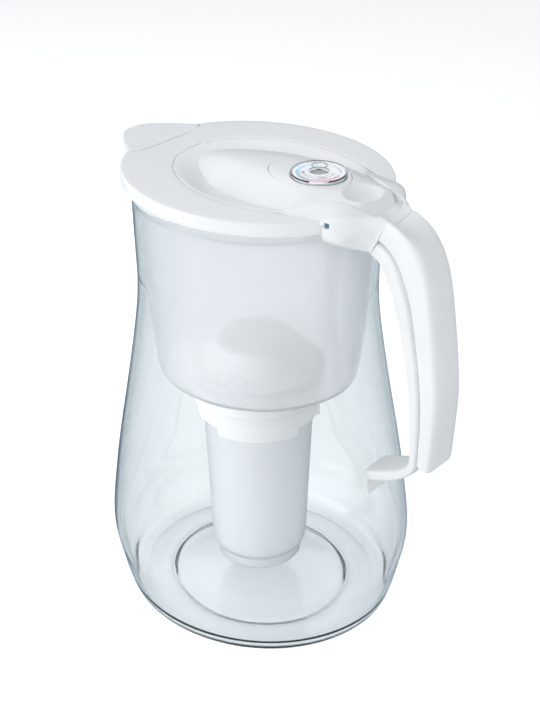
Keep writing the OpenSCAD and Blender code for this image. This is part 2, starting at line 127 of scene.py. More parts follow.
# The room is white behind and through the pitcher. What its gloss mirrors is another room, dark blue-grey at
# the horizon and pale overhead; the dark part draws the grey edges of clear plastic.
world = bpy.data.worlds.new("studio")
scene.world = world
world.use_nodes = True
tree = world.node_tree
tree.nodes.clear()
fill = add_node(tree, "ShaderNodeBackground", {"Color": linear("#F1F4F7"), "Strength": 0.52})
white = add_node(tree, "ShaderNodeBackground", {"Color": (1, 1, 1, 1), "Strength": 1.0})
way = add_node(tree, "ShaderNodeTexCoord").outputs["Generated"]
height = add_node(tree, "ShaderNodeSeparateXYZ", {0: way})
sky = add_node(tree, "ShaderNodeValToRGB", {0: height.outputs["Z"]})
for stop, place, code in zip(sky.color_ramp.elements, (0.05, 0.75), ("#64788B", "#E3E9EF")):
    stop.position = place
    stop.color = linear(code)
mirrored_room = add_node(tree, "ShaderNodeBackground", {"Color": sky.outputs[0], "Strength": 1.0})
lit = add_node(tree, "ShaderNodeMixShader", {0: ray_kind(tree, "Is Camera Ray", "Is Transmission Ray"),
                                            1: fill.outputs[0], 2: white.outputs[0]})
lit = add_node(tree, "ShaderNodeMixShader", {0: mirror_ray(tree), 1: lit.outputs[0],
                                            2: mirrored_room.outputs[0]})
add_node(tree, "ShaderNodeOutputWorld", {"Surface": lit.outputs[0]})

floor_reach = 9
floor_z = -2e-4     # a hair below the foot, so that the two don't lie in one plane
corners = [(x * floor_reach, y * floor_reach, floor_z) for x, y in ((-1, -1), (1, -1), (1, 1), (-1, 1))]
floor = new_piece("floor", corners, faces=[(0, 1, 2, 3)])
paper, tree = new_material("floor_paper")
diffuse = add_node(tree, "ShaderNodeBsdfDiffuse", {"Color": linear("#F2F3F4")})
glow = add_node(tree, "ShaderNodeEmission", {"Color": (1, 1, 1, 1), "Strength": 0.42})
lit = add_node(tree, "ShaderNodeAddShader", {0: diffuse.outputs[0], 1: glow.outputs[0]})
mixed = add_node(tree, "ShaderNodeMixShader", {0: ray_kind(tree, "Is Camera Ray", "Is Transmission Ray"),
                                              1: diffuse.outputs[0], 2: lit.outputs[0]})
# in a gloss the floor is pale at the front right and dark at the back left
where = add_node(tree, "ShaderNodeTexCoord").outputs["Object"]
nearer = add_node(tree, "ShaderNodeVectorMath", {0: where, 1: (0.66, -0.75, 0)},
                  operation="DOT_PRODUCT").outputs["Value"]
shade = add_node(tree, "ShaderNodeValToRGB", {0: nearer})
for stop, place, code in zip(shade.color_ramp.elements, (0.0, 0.26), ("#7B90A3", "#E9EEF2")):
    stop.position = place
    stop.color = linear(code)
dim = add_node(tree, "ShaderNodeEmission", {"Color": shade.outputs[0], "Strength": 1.0})
mixed = add_node(tree, "ShaderNodeMixShader", {0: mirror_ray(tree), 1: mixed.outputs[0],
                                              2: dim.outputs[0]})
add_node(tree, "ShaderNodeOutputMaterial", {"Surface": mixed.outputs[0]})
floor.data.materials.append(paper)


# ---- Jug ------------------------------------------------------------------
# The tank is injection moulded in clear SAN, which has a cool tint where one looks along its wall.
# It is an oval bell with a waist, a rounded foot and a pouring lip opposite the handle.

def through(points, steps):
    """A smooth (Catmull-Rom) line through the points."""
    p = [Vector(q) for q in points]
    out = []
    for i in range(len(p) - 1):
        a, b, c, d = p[max(i - 1, 0)], p[i], p[i + 1], p[min(i + 2, len(p) - 1)]
        for k in range(steps):
            t = k / steps
            out.append(0.5 * (2 * b + (c - a) * t + (2 * a - 5 * b + 4 * c - d) * t * t
                              + (3 * b - a - 3 * c + d) * t ** 3))
    return [tuple(q) for q in out] + [tuple(p[-1])]


def open_tree(name, inputs):
    """A Geometry Nodes tree with named inputs, and their sockets inside it."""
    tree = bpy.data.node_groups.new(name, "GeometryNodeTree")
    for label, kind in inputs.items():
        tree.interface.new_socket(label, in_out="INPUT", socket_type="NodeSocket" + kind)
    tree.interface.new_socket("Geometry", in_out="OUTPUT", socket_type="NodeSocketGeometry")
    return tree, add_node(tree, "NodeGroupInput").outputs


def close_tree(tree, mesh, material):
    """Ends a tree: instances become real mesh, which gets its material."""
    mesh = add_node(tree, "GeometryNodeRealizeInstances", {0: mesh}).outputs[0]
    mesh = add_node(tree, "GeometryNodeSetMaterial", {"Geometry": mesh, "Material": material}).outputs[0]
    add_node(tree, "NodeGroupOutput", {0: mesh})
    return tree


def turning_tree():
    """Turns a profile of points (radius, 0, height) about the upright axis and stretches it along X."""
    tree, given = open_tree("turned_oval", {"Geometry": "Geometry", "Around": "Int", "Oval": "Float",
                                            "Material": "Material"})
    profile = given["Geometry"]
    count = add_node(tree, "GeometryNodeAttributeDomainSize", {0: profile}, component="MESH").outputs[0]
    columns = add_node(tree, "ShaderNodeMath", {0: given["Around"], 1: 1.0}, operation="ADD").outputs[0]
    grid = add_node(tree, "GeometryNodeMeshGrid", {"Size X": 1.0, "Size Y": 1.0, "Vertices X": columns,
                                                   "Vertices Y": count}).outputs["Mesh"]
    place = add_node(tree, "GeometryNodeInputPosition").outputs[0]
    apart = add_node(tree, "ShaderNodeSeparateXYZ", {0: place}).outputs
    last = add_node(tree, "ShaderNodeMath", {0: count, 1: 1.0}, operation="SUBTRACT").outputs[0]
    along = add_node(tree, "ShaderNodeMath", {0: apart["Y"], 1: 0.5}, operation="ADD").outputs[0]
    along = add_node(tree, "ShaderNodeMath", {0: along, 1: last}, operation="MULTIPLY").outputs[0]
    along = add_node(tree, "ShaderNodeMath", {0: along}, operation="ROUND").outputs[0]
    sample = add_node(tree, "GeometryNodeSampleIndex", {"Geometry": profile, "Value": place, "Index": along},
                      data_type="FLOAT_VECTOR", domain="POINT")
    angle = add_node(tree, "ShaderNodeMath", {0: apart["X"], 1: 2 * math.pi}, operation="MULTIPLY").outputs[0]
    turned = add_node(tree, "ShaderNodeVectorRotate", {"Vector": sample.outputs["Value"], "Angle": angle},
                      rotation_type="Z_AXIS").outputs[0]
    stretch = add_node(tree, "ShaderNodeCombineXYZ", {"X": given["Oval"], "Y": 1.0, "Z": 1.0}).outputs[0]
    moved = add_node(tree, "ShaderNodeVectorMath", {0: turned, 1: stretch}, operation="MULTIPLY").outputs[0]
    mesh = add_node(tree, "GeometryNodeSetPosition", {"Geometry": grid, "Position": moved}).outputs[0]
    mesh = add_node(tree, "GeometryNodeMergeByDistance", {"Geometry": mesh, "Distance": 2e-6}).outputs[0]
    return close_tree(tree, mesh, given["Material"])


def keep_result(piece):
    """Makes what the piece's modifier gives its plain mesh."""
    bpy.context.view_layer.update()
    made = bpy.data.meshes.new_from_object(piece.evaluated_get(bpy.context.evaluated_depsgraph_get()))
    piece.modifiers.clear()
    piece.data = made


def baked(piece, tree, values):
    """Runs a Geometry Nodes tree on the piece and keeps its result."""
    step = piece.modifiers.new("made", "NODES")
    step.node_group = tree
    for item in tree.interface.items_tree:
        if item.in_out == "INPUT" and item.name in values:
            step[item.identifier] = values[item.name]
    keep_result(piece)


def smooth_outside(mesh, sharp=38):
    """Faces outward, smooth shading, edges sharper than the angle kept crisp."""
    b = bmesh.new()
    b.from_mesh(mesh)
    bmesh.ops.dissolve_degenerate(b, dist=1e-7, edges=b.edges)
    bmesh.ops.recalc_face_normals(b, faces=b.faces)
    b.to_mesh(mesh)
    b.free()
    mesh.shade_smooth()
    mesh.set_sharp_from_angle(angle=math.radians(sharp))


turned_oval = turning_tree()


def turned(name, profile, material, around=160, oval=1.0):
    """A turned piece from a profile of (radius, height) in millimetres."""
    line = [(i, i + 1) for i in range(len(profile) - 1)]
    piece = new_piece(name, [(r / 1000, 0, z / 1000) for r, z in profile], line)
    baked(piece, turned_oval, {"Around": around, "Oval": oval, "Material": material})
    smooth_outside(piece.data)
    return piece


def clear_san(name, tint, per_metre, low, high, milk=0.0, skin="#FFFFFF"):
    """Clear moulded plastic. Its gloss wavers with faint flow marks, its wall darkens where one looks along
    it, and lamps shine through it. low and high bound the roughness; milk is the share that isn't clear."""
    material, tree = new_material(name)
    where = add_node(tree, "ShaderNodeTexCoord").outputs["Object"]
    # flow marks run upwards from the gate in the foot, 20 mm apart and 125 mm long
    flow_marks = (1 / 0.020, 1 / 0.020, 1 / 0.125)
    stretched = add_node(tree, "ShaderNodeMapping", {"Vector": where, "Scale": flow_marks}).outputs[0]
    flow = add_node(tree, "ShaderNodeTexNoise",
                    {"Vector": stretched, "Scale": 1.0, "Detail": 3.0}).outputs["Fac"]
    cloudy = add_node(tree, "ShaderNodeMapRange", {"Value": flow, "From Min": 0.3, "From Max": 0.7,
                                                   "To Min": low, "To Max": high}).outputs[0]
    bump = add_node(tree, "ShaderNodeBump", {"Height": flow, "Strength": 0.02, "Distance": 0.002}).outputs[0]
    glass = add_node(tree, "ShaderNodeBsdfPrincipled",
                     {"Base Color": linear("#FDFDFE"), "Roughness": cloudy, "IOR": 1.57,
                      "Transmission Weight": 1 - milk, "Coat Weight": 1.0, "Coat IOR": 1.03,
                      "Coat Roughness": 0.0, "Coat Tint": linear(skin), "Normal": bump})
    open_way = add_node(tree, "ShaderNodeBsdfTransparent", {"Color": linear("#FDFDFE")})
    path = add_node(tree, "ShaderNodeLightPath")
    mixed = add_node(tree, "ShaderNodeMixShader",
                     {0: path.outputs["Is Shadow Ray"], 1: glass.outputs[0], 2: open_way.outputs[0]})
    inside = add_node(tree, "ShaderNodeVolumeAbsorption", {"Color": linear(tint), "Density": per_metre})
    add_node(tree, "ShaderNodeOutputMaterial", {"Surface": mixed.outputs[0], "Volume": inside.outputs[0]})
    return material


# polished SAN: sharp highlights, and a wall that shows only as a grey edge
san_clear = clear_san("san_clear_moulded", "#8C9AA8", 9.0, 0.0, 0.03, 0.0, "#FAFBFB")

jug_oval = 1.092        # length over width
wall = 2.6
rim_r = 70
jug_outside = through([(73, 0), (79.5, 2), (82.7, 7), (87.2, 26.6), (90.5, 50), (86.9, 85.5), (82.7, 114),
                       (77.1, 147), (71.9, 180), (68.9, 204), (68, 222)], 6)
jug_outside += through([(68.05, 222.6), (68.5, 245), (69, 272)], 6)
foot_under = [(0, 2.4), (51, 2.4), (52.4, 1.8), (53.5, 0.3), (54.5, 0.3), (56, 0.7), (62, 0.8), (68, 0.5),
              (71, 0.15), (72, 0)]
rim_bead = [(69.4, 273), (rim_r, 274), (rim_r, 280), (69.6, 280.7), (69, 281), (68.4, 281), (67.8, 280.7),
            (67.4, 280)]
jug_inside = [(r - wall, z) for r, z in reversed(jug_outside) if z > 8]
floor_inside = [(77, 5.0), (74, 3.6), (70, 3.2), (58, 3.2), (56.4, 3.4), (55.2, 4.2), (54, 5.2), (52, 5.4),
                (0, 5.4)]
jug = turned("jug_tank", foot_under + jug_outside + rim_bead + jug_inside + floor_inside, san_clear, 180,
             jug_oval)
# the pouring lip swells out of the oval under the spout cover
lip_low, lip_rise, lip_half_w, lip_reach = 247, 31, 22, 99
for v in jug.data.vertices:
    rise = (v.co.z * 1000 - lip_low) / lip_rise
    if v.co.x < 0 < rise:
        bulge = min(1, rise) ** 1.2 * max(0, 1 - (v.co.y * 1000 / lip_half_w) ** 2)
        v.co.x -= (lip_reach - jug_oval * rim_r) * bulge / 1000
jug.data.update()
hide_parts("tank")
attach(jug, "jug")


# ---- Funnel ------------------------------------------------------------------
# The hopper that holds the water to be filtered hangs on the jug's rim by a thin flange. It is clear too,
# with a finely matt surface that makes it look pale.

# finely eroded SAN: it blurs what lies behind it, and is a little milky
san_misty = clear_san("san_misty_moulded", "#DADFE3", 6.0, 0.10, 0.2, 0.18)
hopper_wall = 2
socket_hole = (39, 158.1)
hopper_side = through([(52, 158), (56.6, 160.4), (58.5, 166), (61, 190), (63.4, 222), (64.5, 255),
                       (65.1, 281.3)], 5)
hopper_flange = [(69.4, 281.3), (69.4, 282.9), (63.3, 282.9)]
hopper_inside = [(r - hopper_wall, z) for r, z in reversed(hopper_side) if z > 162]
hopper_inside += [(50, 160), (39, 160), socket_hole]
hopper_profile = [socket_hole] + hopper_side + hopper_flange + hopper_inside
hopper = turned("funnel_hopper", hopper_profile, san_misty, 160, jug_oval)
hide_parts("funnel")
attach(hopper, "funnel")


# ---- Handle ------------------------------------------------------------------
# The grip is a hollow ABS shell. A strip welded to its inner side closes it, turns in below the hand as a
# foot, and bears on the tank's wall with a flange.

def moulded(name, colour, deeper, rough, grain=0.35):
    """An opaque moulding: a fine eroded grain, in millimetres, softens its gloss, and its colour drifts a
    little over 45 mm. A real grain is about 0.05 mm; it is drawn coarser, so that it shows."""
    material, tree = new_material(name)
    where = add_node(tree, "ShaderNodeTexCoord").outputs["Object"]
    fine = add_node(tree, "ShaderNodeTexNoise",
                    {"Vector": where, "Scale": 1000 / grain, "Detail": 2.0}).outputs["Fac"]
    slow = add_node(tree, "ShaderNodeTexNoise",
                    {"Vector": where, "Scale": 22.0, "Detail": 3.0}).outputs["Fac"]
    tone = add_node(tree, "ShaderNodeMapRange",
                    {"Value": slow, "From Min": 0.35, "From Max": 0.65}).outputs[0]
    mix = add_node(tree, "ShaderNodeMix", {"Factor": tone, 6: linear(colour), 7: linear(deeper)},
                   data_type="RGBA")
    gloss = add_node(tree, "ShaderNodeMapRange", {"Value": fine, "From Min": 0.3, "From Max": 0.7,
                                                  "To Min": rough - 0.04, "To Max": rough + 0.06})
    bump = add_node(tree, "ShaderNodeBump", {"Height": fine, "Strength": 0.08, "Distance": 0.0001})
    shader = add_node(tree, "ShaderNodeBsdfPrincipled",
                      {"Base Color": mix.outputs[2], "Roughness": gloss.outputs[0], "IOR": 1.53,
                       "Normal": bump.outputs[0]})
    add_node(tree, "ShaderNodeOutputMaterial", {"Surface": shader.outputs[0]})
    return material


# white ABS: a lamp shows in it as a wide soft sheen
abs_white = moulded("abs_white_moulded", "#F4F5F6", "#F0F2F3", 0.30)


def loft(name, rings, material, rounds=(0, 0)):
    """A skin over rings of points in millimetres; rounds is how far each of its two ends is rounded over."""
    rings = [np.array(ring, float) for ring in rings]
    for at, beyond, end_round in ((0, 1, rounds[0]), (-1, -2, rounds[1])):
        if end_round:
            edge, middle = rings[at], rings[at].mean(0)
            out = middle - rings[beyond].mean(0)
            out /= np.linalg.norm(out)
            extra = []
            for k in range(1, 5):
                a = k / 4 * math.pi / 2
                toward = middle - edge
                toward /= np.linalg.norm(toward, axis=1)[:, None]
                inward, back = 1 - math.cos(a), math.sin(a) - 1
                extra.append(edge + toward * end_round * inward + out * end_round * back)
            edge -= out * end_round
            extra.append(middle + (extra[-1] - middle) * 0.97)
            extra.append(middle + (extra[-1] - middle) * 0.3)
            rings = extra[::-1] + rings if at == 0 else rings + extra
    m = len(rings[0])
    points = [tuple(p / 1000) for ring in rings for p in ring]
    faces = [(i * m + j, i * m + (j + 1) % m, (i + 1) * m + (j + 1) % m, (i + 1) * m + j)
             for i in range(len(rings) - 1) for j in range(m)]
    faces += [tuple(range(m - 1, -1, -1)), tuple(range((len(rings) - 1) * m, len(rings) * m))]
    piece = new_piece(name, points, faces=faces)
    piece.data.materials.append(material)
    smooth_outside(piece.data)
    return piece


def section(a, b, half_w, n, dent=0.0):
    """A squarish ring between the points a and b of the side view; dent hollows the side at b."""
    q, trough_half_w = 0.42, 10.8
    a, b = np.array(a), np.array(b)
    ring = []
    for j in range(n):
        c, s = math.cos(2 * math.pi * j / n), math.sin(2 * math.pi * j / n)
        u, v = math.copysign(abs(c) ** q, c), math.copysign(abs(s) ** q, s)
        sink = dent * max(0, 1 - (half_w * v / trough_half_w) ** 2) / np.linalg.norm(b - a) if u > 0 else 0
        x = (a + b) / 2 + (b - a) * (u / 2 - sink)
        ring.append((x[0], half_w * v, x[1]))
    return ring


def between(a, b, t):
    """The point at the share t of the way from a to b."""
    return (a[0] * (1 - t) + b[0] * t, a[1] * (1 - t) + b[1] * t)


grip_half_w, strip_half_w, flange_half_w = 12.5, 11.7, 9.0
seam_low, seam_top = (91, 264), (103.5, 288.4)      # the grip's first section in the side view
grip_outside = through([seam_top, (110, 286), (118.5, 280), (126, 269.5), (131.5, 253), (137, 220),
                        (139.7, 197), (140, 182), (138.7, 156), (137.6, 143)], 6)
grip_inside = through([seam_low, (95.8, 261.6), (100.6, 255.5), (105.5, 244.5), (110.5, 231), (116, 210),
                       (120, 187), (121.8, 168), (122.6, 156), (122.9, 147)], 6)
grip_split = [between(a, b, 0.4 - 0.03 * i / len(grip_inside))
              for i, (a, b) in enumerate(zip(grip_inside, grip_outside))]
# the thumb's trough runs out over the first 13 rings
rings = [section(a, b, grip_half_w, 72, 6.6 * max(0, 1 - i / 13) ** 0.75)
         for i, (a, b) in enumerate(zip(grip_split, grip_outside))]
grip = loft("handle_grip_shell", rings, abs_white, (0.25, 1.1))
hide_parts("handle_grip")
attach(grip, "jug")

foot_over = through([(122.9, 147), (121.2, 141.5), (116, 137), (106, 132), (95, 127.6), (91.4, 125.4),
                     (90.4, 122.5), (91.2, 116), (92.4, 108.4)], 4)[1:]
foot_below = through([(128.7, 145.6), (126.6, 139), (120.5, 132.2), (111, 126), (101, 121.6), (96.6, 119.6),
                      (94, 117.6), (93.6, 114), (94.4, 108.6)], 4)[1:]
rings = [section(a, between(b, a, 0.015), strip_half_w, 56) for a, b in zip(grip_inside, grip_split)]
for i, (a, b) in enumerate(zip(foot_over, foot_below)):
    narrowed = max(0, min(1, (i - 16) / 6))
    rings.append(section(a, b, strip_half_w - (strip_half_w - flange_half_w) * narrowed, 56))
strip = loft("handle_inner_strip", rings, abs_white, (0.25, 0.6))
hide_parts("handle_strip")
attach(strip, "jug")


# ---- Handle's root: saddle and fork ---------------------------------------------
# The root is two ABS mouldings parted by a V seam: a saddle fixed round the tank's rim, and above it
# the fork at the lid's tail, which lifts off with the lid. A trough for the thumb runs down its middle.

def outline_distance(points, x, y):
    """Signed distance to a closed outline, negative inside."""
    nearest, crossed = np.inf, False
    for (ax, ay), (bx, by) in zip(points, points[1:] + points[:1]):
        ex, ey = bx - ax, by - ay
        size = ex * ex + ey * ey
        if size < 1e-12:
            continue
        t = np.clip(((x - ax) * ex + (y - ay) * ey) / size, 0, 1)
        nearest = np.minimum(nearest, (x - ax - t * ex) ** 2 + (y - ay - t * ey) ** 2)
        if ey != 0:
            crossed = crossed ^ (((ay > y) != (by > y)) & (x < ex * (y - ay) / ey + ax))
    return np.where(crossed, -1.0, 1.0) * np.sqrt(nearest)


def both(a, b, soft):
    """Where both forms are: their meeting edge is rounded over about soft millimetres."""
    h = np.maximum(soft - np.abs(a - b), 0)
    return np.maximum(a, b) + h * h / (4 * soft)


def less(a, b, soft):
    """The first form without the second."""
    return both(a, -b, soft)


def either(a, b, soft):
    """Where either form is: the corner between them is filled over about soft millimetres."""
    return -both(-a, -b, soft)


def blended(name, field, low, high, step, material):
    """A skin where the field crosses zero inside the box low to high, in millimetres."""
    axes = [np.arange(a, b + step, step) for a, b in zip(low, high)]
    f = field(*np.meshgrid(*axes, indexing="ij", sparse=True))
    f = np.broadcast_to(f, [len(a) for a in axes])
    inside = f < 0
    total = np.zeros([n - 1 for n in f.shape] + [3])
    count = np.zeros([n - 1 for n in f.shape])

    def corner_of(shift):
        """Where the cells' corners at this shift are in the field."""
        return tuple(slice(s, n - 1 + s) for s, n in zip(shift, f.shape))

    for axis in range(3):
        others = [k for k in range(3) if k != axis]
        for p in (0, 1):
            for q in (0, 1):
                start = [0, 0, 0]
                start[others[0]], start[others[1]] = p, q
                end = list(start)
                end[axis] = 1
                a, b = f[corner_of(start)], f[corner_of(end)]
                crossing = inside[corner_of(start)] != inside[corner_of(end)]
                t = np.where(crossing, a / np.where(crossing, a - b, 1), 0)
                spot = np.array(start, float)
                total[crossing] += spot
                total[..., axis][crossing] += t[crossing]
                count += crossing
    used = count > 0
    number = np.full(used.shape, -1)
    number[used] = np.arange(used.sum())
    cell = np.argwhere(used)
    points = (cell + total[used] / count[used][:, None]) * step + np.array(low)
    faces = []
    for axis in range(3):
        u, v = [(1, 2), (2, 0), (0, 1)][axis]
        one = [slice(1, n - 1) for n in f.shape]
        one[axis] = slice(0, f.shape[axis] - 1)
        two = list(one)
        two[axis] = slice(1, f.shape[axis])
        a, b = inside[tuple(one)], inside[tuple(two)]
        where = np.argwhere(a != b)
        corner = where + np.array([0 if k == axis else 1 for k in range(3)])
        du, dv = np.eye(3, dtype=int)[u], np.eye(3, dtype=int)[v]
        quads = [number[tuple((corner - x).T)] for x in (du + dv, dv, 0 * du, du)]
        outward = a[a != b]
        for quad, way in zip(np.array(quads).T, outward):
            faces.append(tuple(quad) if way else tuple(quad[::-1]))
    for _ in range(3):
        x, y, z = points.T
        value = field(x, y, z)
        e = 0.05
        slope = np.stack([field(x + e, y, z) - field(x - e, y, z), field(x, y + e, z) - field(x, y - e, z),
                          field(x, y, z + e) - field(x, y, z - e)], 1) / (2 * e)
        move = slope * (value / np.maximum((slope ** 2).sum(1), 0.05))[:, None]
        size = np.linalg.norm(move, axis=1)
        points = points - move * np.minimum(1, 0.4 * step / np.maximum(size, 1e-9))[:, None]
    piece = new_piece(name, [tuple(p) for p in points / 1000], faces=faces)
    piece.data.materials.append(material)
    smooth_outside(piece.data, 60)
    return piece


def flipped(points):
    """The same line on the other side of the middle, run backwards."""
    return [(x, -y) for x, y in points[::-1]]


def ellipse(a, b, cx=0.0, n=160):
    """An oval line about (cx, 0)."""
    return [(cx + a * math.cos(2 * math.pi * j / n), b * math.sin(2 * math.pi * j / n)) for j in range(n)]


lid_top = 287.4
fork_outside = through([(44, 41), (56, 38.6), (66, 35.6), (75, 33), (82, 30), (88, 24), (93, 17.5),
                        (100, 12.5)], 4)
fork_inside = through([(44, 41), (51, 35), (57, 29.5), (64, 24), (72, 19), (80, 16.2), (88, 14.6),
                       (96, 13)], 4)
root_plan = fork_outside + [(120, 12.5)] + flipped(fork_outside + [(120, 12.5)])
root_crest = through([(42, 287.2), (52, 290.2), (62, 293), (72, 294.2), (80, 293.3), (87, 291.7), (95, 290),
                      seam_top, (107, 287.3), (110, 286)], 4)
root_below = through([(98, 258.5), seam_low, (84, 268), (76, 270.6), (66, 272)], 4)
root_side = root_crest + root_below + [(42, 272)]
half = [(12, 262)] + through([(16, 267), (22, 270.6), (34, 275.5)], 4) + [(46, 278), (46, 286.4)]
half += through([(39, 287.3), (31, 290), (23, 293.2), (15, 295.2), (6, 295.9)], 4)
root_end = half + [(-y, z) for y, z in half[::-1]]
slot_plan = [(30, 41)] + fork_inside + flipped(fork_inside) + [(30, -41)]
seam_mid, seam_way, grip_half_depth = (97.25, 276.2), (0.456, 0.89), 13.7
fork_low = 284.6


def thumb_trough(x, y, z):
    """A round bar of 12 mm radius that leans with the handle's top."""
    lean = math.radians(22)
    across = (x - 105.6) * math.sin(lean) + (z - 293.6) * math.cos(lean)
    return np.sqrt(across ** 2 + y ** 2) - 12


def root_whole(x, y, z):
    """Both mouldings of the root as one form, so that it runs on smoothly over the seam between them."""
    form = both(outline_distance(root_plan, x, y), outline_distance(root_end, y, z), 5)
    form = both(form, outline_distance(root_side, x, z), 3)
    # toward the grip it takes on the grip's own section, a squarish tube along the grip's first stretch
    off = (z - seam_low[1]) * seam_way[0] - (x - seam_low[0]) * seam_way[1]
    depth = ((x - seam_mid[0]) * seam_way[0] + (z - seam_mid[1]) * seam_way[1]) / grip_half_depth
    square = (np.abs(depth) ** 4.76 + np.abs(y / grip_half_w) ** 4.76) ** 0.21
    tube = (square - 1) * grip_half_w - 0.12 * np.maximum(off, 0) ** 2
    form = both(form, tube, 1.5)
    slot = outline_distance(slot_plan, x, y)
    deep = np.where(x < 78.5, np.where(x < 75, 279.4, fork_low), lid_top - 0.5)
    form = less(form, both(slot, deep - z, 0.3), 1.0)
    # a small square window at the end of the lid's rim
    window = both(np.abs(x - 77.45) - 1.5, np.abs(z - 285.0) - 1.45, 0.3)
    form = less(form, both(window, 28.6 - np.abs(y), 0.3), 0.25)
    form = less(form, thumb_trough(x, y, z), 1.2)
    # room for the tank's wall and rim, the funnel's flange and the lid's plate
    form = less(form, both(x - 75, z - fork_low, 0.3), 0.6)
    around = np.sqrt((x / jug_oval) ** 2 + y ** 2)
    form = less(form, both(around - 69.2, z - 272.1, 0.3), 0.5)
    form = less(form, both(around - 70.2, np.abs(z - 277) - 5.1, 0.3), 0.5)
    around = np.sqrt((x / 77.6 * 71.2) ** 2 + y ** 2)
    return less(form, both(around - 71.2, np.abs(z - 282.7) - 1.8, 0.3), 0.4)


def cut_with(piece, cutter, how="INTERSECT"):
    """Cuts the piece with a closed shape, which is then gone. The skin stays smooth up to the cut."""
    step = piece.modifiers.new("cut", "BOOLEAN")
    step.operation, step.solver, step.object = how, "EXACT", cutter
    keep_result(piece)
    bpy.data.objects.remove(cutter)
    smooth_outside(piece.data, 40)


saddle = blended("handle_saddle_moulding", root_whole, (40, -44, 255), (112, 44, 300), 0.7, abs_white)
fork = saddle.copy()
fork.data = saddle.data.copy()
fork.name = fork.data.name = "lid_fork_moulding"
scene.collection.objects.link(fork)
saddle_side = [(60, 284.55), (78, 284.55), (96.33, 274.86), (90.9, 264), (86, 254), (60, 254)]
fork_side = [(30, fork_low), (78, fork_low), (96.38, 274.9), (103.42, 288.5), (109, 302), (30, 302)]
for piece, side in ((saddle, saddle_side), (fork, fork_side)):
    cut_with(piece, loft("cutter", [[(x, y, z) for x, z in side] for y in (-60, 60)], abs_white))
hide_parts("handle_saddle")
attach(saddle, "jug")
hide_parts("lid_fork")
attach(fork, "lid")

# A blue-grey pad lies behind each of the two windows beside the fork. It is painted shade: its blue-grey
# stands for the clear tank's tinted rim, seen in shade through the window.
shade_blue = moulded("painted_shade_blue_grey", "#5E83A6", "#557A9D", 0.35)
pad_x = 75.2
pad = [(pad_x, 283.2), (79.6, 283.2), (79.6, 286.8), (pad_x, 286.8)]
for side in (1, -1):
    shade_pad = loft("lid_window_shade_pad", [[(x, side * (y - 0.45 * (x - pad_x)), z) for x, z in pad]
                                   for y in (29.6, 31.6)], shade_blue)
    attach(shade_pad, "lid")


# ---- Lid -----------------------------------------------------------------------
# One horseshoe of ABS: a flat plate, rounded over at its edge into a rim that hangs over the tank. It is open
# at the tail, where the fork stands, and in front, where the spout cover closes it.

lid_a, lid_b = 82.98, 72.6      # half axes of the lid's oval
plate_low, rim_low, rim_wall = lid_top - 2.4, 279.4, 2.1
flap_cx, flap_a, flap_b = 13, 64, 48
hinge_x, barrel_r, barrel_half_w, lug_half_w = -49.75, 1.25, 8, 15.4
edge_r, flap_gap, edge_gap = 0.35, 0.3, 0.25


def quarter(count):
    """Angles of a quarter turn."""
    return np.linspace(0, math.pi / 2, count)


def lid_section(inner, outer, low, inner_r):
    """A ring of points across the plate from its inner to its outer edge; low is where its rim ends."""
    inner, outer = np.array(inner, float), np.array(outer, float)
    width = np.linalg.norm(outer - inner)
    way = (outer - inner) / width
    r, big, small, t = min(inner_r, width * 0.3), min(1.5, width * 0.4), 0.5, min(rim_wall, width * 0.85)
    line = [(0, plate_low)]
    line += [(r - r * math.cos(a), lid_top - r + r * math.sin(a)) for a in quarter(5)]
    line += [(r + (width - big - r) * k / 6, lid_top) for k in range(1, 6)]
    line += [(width - big + big * math.sin(a), lid_top - big + big * math.cos(a)) for a in quarter(8)]
    line += [(width - small + small * math.cos(a), low + small - small * math.sin(a)) for a in quarter(4)]
    line += [(width - t, low), (width - t, max(low, plate_low)), (width - t - 0.1, plate_low)]
    return [(*(inner + way * along), z) for along, z in line]


cover_seam = through([(-69.3, 0), (-69.3, 14), (-69.5, 18), (-70.3, 23), (-72.8, 28.8)], 4)


def seam_x(y):
    """Where the spout cover's rear edge is, at distance y from the middle."""
    return np.interp(abs(y), [q[1] for q in cover_seam], [q[0] for q in cover_seam])


def lid_inside(angle):
    """Inner edge of the lid at an angle of the flap's oval, and how far its top corner is rounded."""
    x, y = flap_cx + (flap_a + flap_gap) * math.cos(angle), (flap_b + flap_gap) * math.sin(angle)
    if x >= -47.9:
        return (x, y), edge_r
    # the flap's barrel turns in front of this edge between two lugs
    if y < barrel_half_w + 0.1:
        return (min(x, hinge_x - barrel_r - edge_gap), y), edge_r
    return (hinge_x + barrel_r, y), barrel_r


def lid_outside(angle):
    """Outer edge of the lid's oval at an angle."""
    return (lid_a * math.cos(angle), lid_b * math.sin(angle))


# from the front round to the tail: behind the spout cover, round the flap, and beside the fork
cover_end, fork_start, fork_end = math.radians(155.4), math.radians(61.2), math.radians(25.8)
half = []
for angle in np.linspace(math.pi, cover_end, 60):
    inner, r = lid_inside(angle)
    outer = lid_outside(angle)
    t = 0.6
    for _ in range(40):
        # settles where the ray meets the cover's rear edge
        t = (seam_x(inner[1] + t * (outer[1] - inner[1])) + edge_gap - inner[0]) / (outer[0] - inner[0])
    half.append((inner, between(inner, outer, t), plate_low, r))
for angle in np.linspace(cover_end, fork_start, 90):
    inner, r = lid_inside(angle)
    half.append((inner, lid_outside(angle), rim_low, r))
tail = through([(44, 42.3), (56, 38.2), (66, 35.2), (70.5, 32.6), (72.9, 30.6)], 8)
for k, inner in enumerate(tail[1:]):
    angle = fork_start - (fork_start - fork_end) * (k + 1) / (len(tail) - 1)
    half.append((inner, lid_outside(angle), rim_low, edge_r))
mirrored = [((i[0], -i[1]), (o[0], -o[1]), low, r) for i, o, low, r in half[:0:-1]]
lid = loft("lid_plate_moulding", [lid_section(*part) for part in mirrored + half], abs_white)
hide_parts("lid_plate")
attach(lid, "lid")


